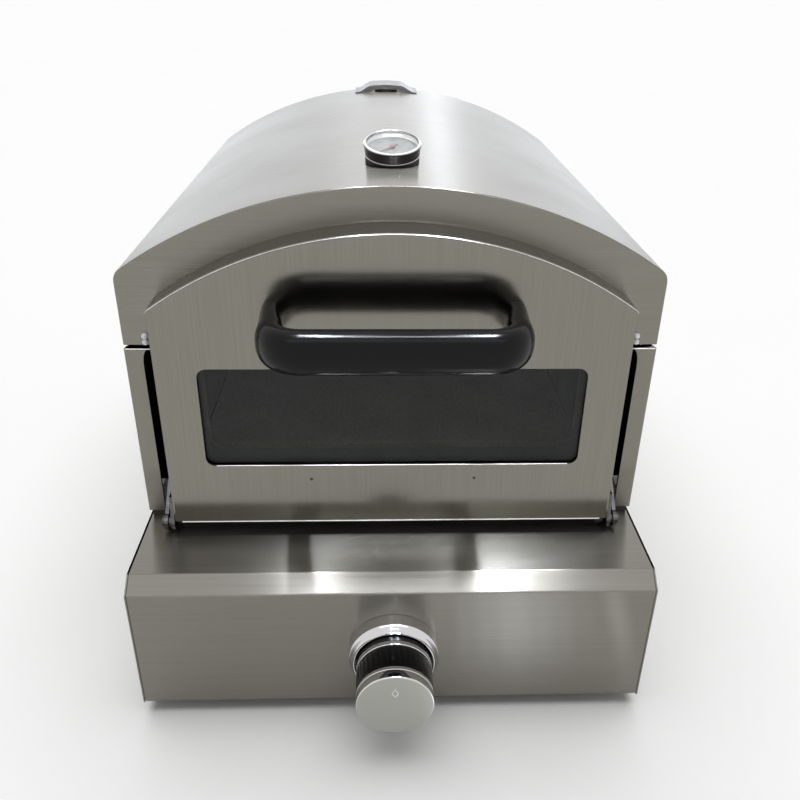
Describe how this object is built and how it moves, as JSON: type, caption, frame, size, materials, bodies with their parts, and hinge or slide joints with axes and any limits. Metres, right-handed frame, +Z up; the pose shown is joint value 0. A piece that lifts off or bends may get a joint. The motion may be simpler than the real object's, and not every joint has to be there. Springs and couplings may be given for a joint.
{
  "type": "portable pizza oven",
  "caption": "Portable gas pizza oven: arched stainless hood and body on a burner box with a front shelf, drop-down window door with a D handle, push-and-turn gas knob, dial thermometer.",
  "frame": {"origin": "centre of the bounding box's base: on the surface that the feet stand on", "axes": "+Z up, the front with its door and knob faces -Y, +X to the right as seen from the front"},
  "size_m": [0.42, 0.6962, 0.446],
  "materials": {
    "base_shell": "brushed",
    "base_end_left": "brushed",
    "base_end_right": "brushed",
    "base_back": "brushed",
    "base_floor": "plain",
    "foot_front_left": "matte black",
    "foot_front_right": "matte black",
    "foot_rear_left": "matte black",
    "foot_rear_right": "matte black",
    "body_rail_left": "matte black",
    "body_rail_right": "matte black",
    "body_side_left": "brushed",
    "body_side_right": "brushed",
    "body_back": "brushed",
    "chamber_liner": "heat-darkened",
    "hood_liner": "heat-darkened",
    "flame_shield": "heat-darkened",
    "stone_rail_left": "heat-darkened",
    "stone_rail_right": "heat-darkened",
    "pizza_stone": "porous fired cordierite",
    "hood_shell": "brushed",
    "hood_back": "brushed",
    "hood_bumper_left": "white silicone",
    "hood_bumper_right": "white silicone",
    "flue_collar": "plain",
    "flue_cowl": "brushed",
    "thermometer_collar": "matte black",
    "thermometer_case": "polished",
    "thermometer_dial": "printed grey face",
    "thermometer_pointer": "red",
    "thermometer_glass": "clear",
    "thermometer_probe": "plain",
    "thermometer_nut": "plain",
    "door_skin": "brushed",
    "door_inner": "plain",
    "window_gasket": "matte black",
    "window_glass": "dark tinted",
    "window_retainer": "plain",
    "door_handle": "gloss black",
    "hinge_arm_left": "polished",
    "hinge_arm_right": "polished",
    "hinge_bracket_left": "plain",
    "hinge_bracket_right": "plain",
    "hinge_pin_left": "polished",
    "hinge_pin_right": "polished",
    "knob_bezel": "polished",
    "knob_ring": "polished",
    "knob_grip": "gloss black",
    "knob_cap": "polished",
    "valve_stem": "plain",
    "stem_collar": "plain",
    "gas_valve": "plain",
    "injector": "plain",
    "burner": "plain",
    "burner_bracket_front": "plain",
    "burner_bracket_rear": "plain",
    "igniter_electrode": "white ceramic",
    "gas_pipe": "plain",
    "inlet_fitting": "plain"
  },
  "bodies": {
    "oven": {"base_shell": "base_shell", "base_end_left": "base_end_left", "base_end_right": "base_end_right", "base_back": "base_back", "base_floor": "base_floor", "foot_front_left": "foot_front_left", "foot_front_right": "foot_front_right", "foot_rear_left": "foot_rear_left", "foot_rear_right": "foot_rear_right", "body_rail_left": "body_rail_left", "body_rail_right": "body_rail_right", "body_side_left": "body_side_left", "body_side_right": "body_side_right", "body_back": "body_back", "chamber_liner": "chamber_liner", "hood_liner": "hood_liner", "flame_shield": "flame_shield", "stone_rail_left": "stone_rail_left", "stone_rail_right": "stone_rail_right", "pizza_stone": "pizza_stone", "hood_shell": "hood_shell", "hood_back": "hood_back", "hood_bumper_left": "hood_bumper_left", "hood_bumper_right": "hood_bumper_right", "flue_collar": "flue_collar", "flue_cowl": "flue_cowl", "thermometer_collar": "thermometer_collar", "thermometer_case": "thermometer_case", "thermometer_dial": "thermometer_dial", "thermometer_glass": "thermometer_glass", "thermometer_probe": "thermometer_probe", "thermometer_nut": "thermometer_nut", "hinge_bracket_left": "hinge_bracket_left", "hinge_bracket_right": "hinge_bracket_right", "hinge_pin_left": "hinge_pin_left", "hinge_pin_right": "hinge_pin_right", "knob_bezel": "knob_bezel", "gas_valve": "gas_valve", "injector": "injector", "burner": "burner", "burner_bracket_front": "burner_bracket_front", "burner_bracket_rear": "burner_bracket_rear", "igniter_electrode": "igniter_electrode", "gas_pipe": "gas_pipe", "inlet_fitting": "inlet_fitting"},
    "door": {"door_skin": "door_skin", "door_inner": "door_inner", "window_gasket": "window_gasket", "window_glass": "window_glass", "window_retainer": "window_retainer", "door_handle": "door_handle", "hinge_arm_left": "hinge_arm_left", "hinge_arm_right": "hinge_arm_right"},
    "knob_slide": {"stem_collar": "stem_collar"},
    "knob": {"valve_stem": "valve_stem", "knob_grip": "knob_grip", "knob_ring": "knob_ring", "knob_cap": "knob_cap"},
    "pointer": {"thermometer_pointer": "thermometer_pointer"}
  },
  "joints": [
    {"name": "door_hinge", "type": "hinge", "parent": "oven", "child": "door", "pos_m": [0, -0.2179, 0.148], "axis": [1, 0, 0], "range_deg": [0, 90]},
    {"name": "knob_push", "type": "slide", "parent": "oven", "child": "knob_slide", "axis": [0, 1, 0], "range_m": [0, 0.004], "stiffness_N_per_m": 400, "springref_m": -0.006},
    {"name": "knob_turn", "type": "hinge", "parent": "knob_slide", "child": "knob", "pos_m": [0, -0.2879, 0.0695], "axis": [0, 1, 0], "range_deg": [-180, 0]},
    {"name": "pointer_turn", "type": "hinge", "parent": "oven", "child": "pointer", "pos_m": [0, -0.1164, 0.424], "axis": [0, -0.2504, 0.9681], "range_deg": [-270, 0], "stiffness_Nm_per_rad": 0.002, "springref_deg": 5.73}
  ]
}
